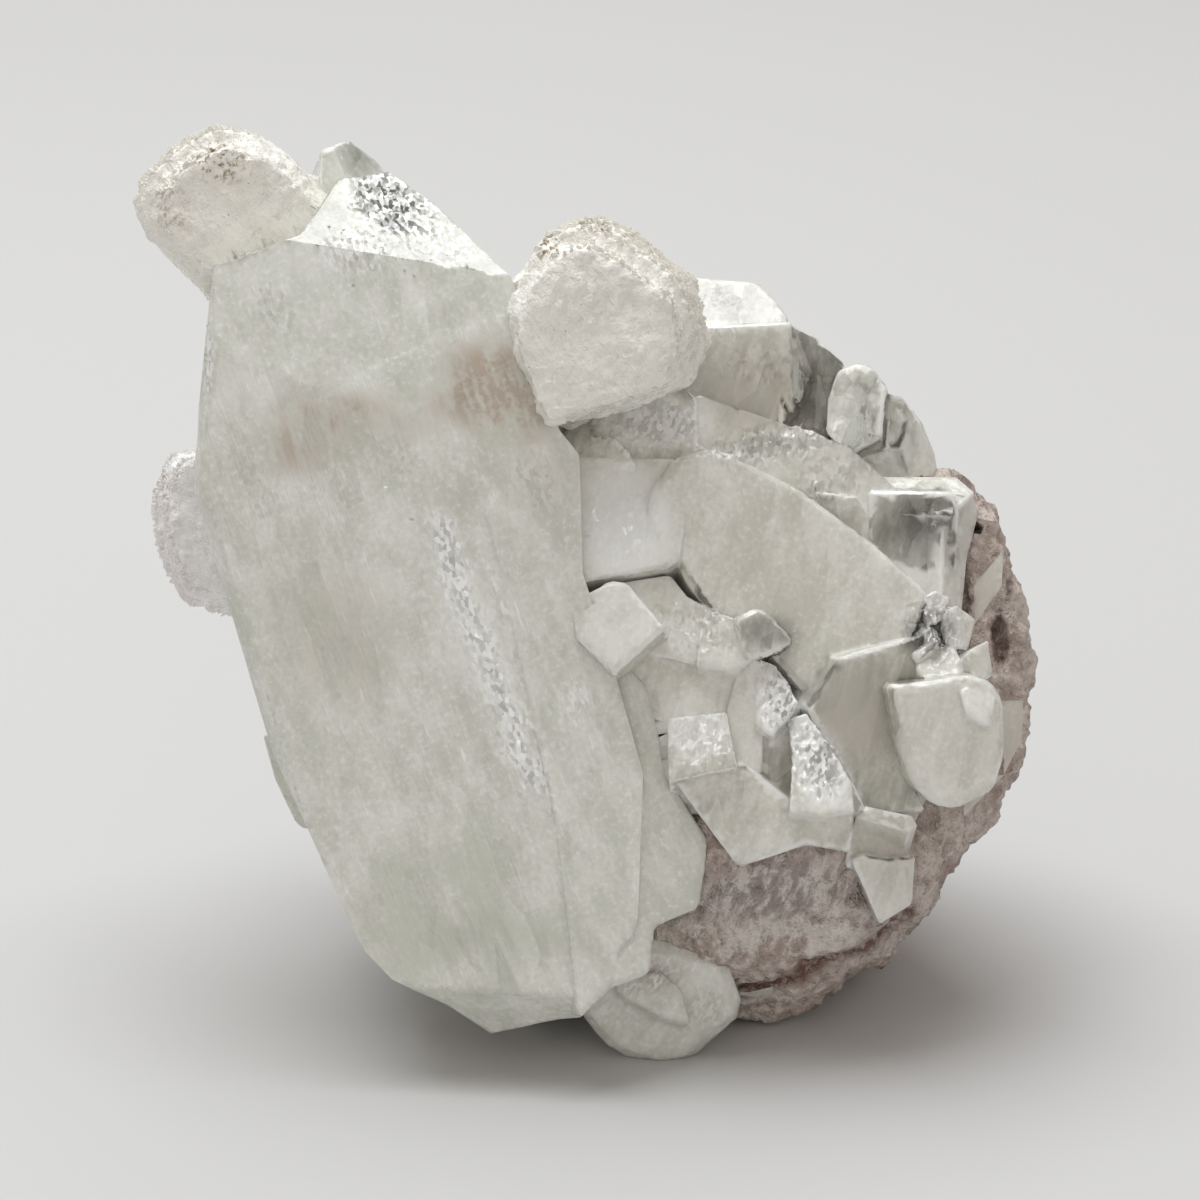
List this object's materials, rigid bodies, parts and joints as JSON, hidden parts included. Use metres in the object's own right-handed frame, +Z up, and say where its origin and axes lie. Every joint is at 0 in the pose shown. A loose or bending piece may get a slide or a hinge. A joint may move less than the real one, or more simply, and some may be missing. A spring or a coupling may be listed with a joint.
{
  "type": "apophyllite cluster",
  "caption": "Mineral specimen: a tall blocky pale green crystal grown beside a stepped group of glassy blocks, with cream mineral sheaves, on a pinkish brown rock base.",
  "frame": {"origin": "the middle of the box around the specimen, at the level of the surface it stands on", "axes": "+Z up as it stands; the show side faces -Y; the great crystal is on the -X side"},
  "size_m": [0.0728, 0.0554, 0.071],
  "materials": {
    "great_crystal": "translucent milky pale green, glassy faces with fine growth lines",
    "stepped_crystals": "clear to hazy, colourless to pale green, glassy to pearly faces",
    "matrix": "rough broken pinkish brown to purple grey rock with rusty seams",
    "stilbite": "cream, waxy to pearly, finely ribbed",
    "pale_stilbite": "pinkish white, waxy to pearly, finely ribbed"
  },
  "bodies": {
    "root": {"great_crystal": "great_crystal", "stepped_crystals": "stepped_crystals", "foot_crystal": "great_crystal", "matrix": "matrix", "stilbite_crown": "stilbite", "stilbite_front": "stilbite", "stilbite_back": "pale_stilbite"}
  },
  "joints": []
}
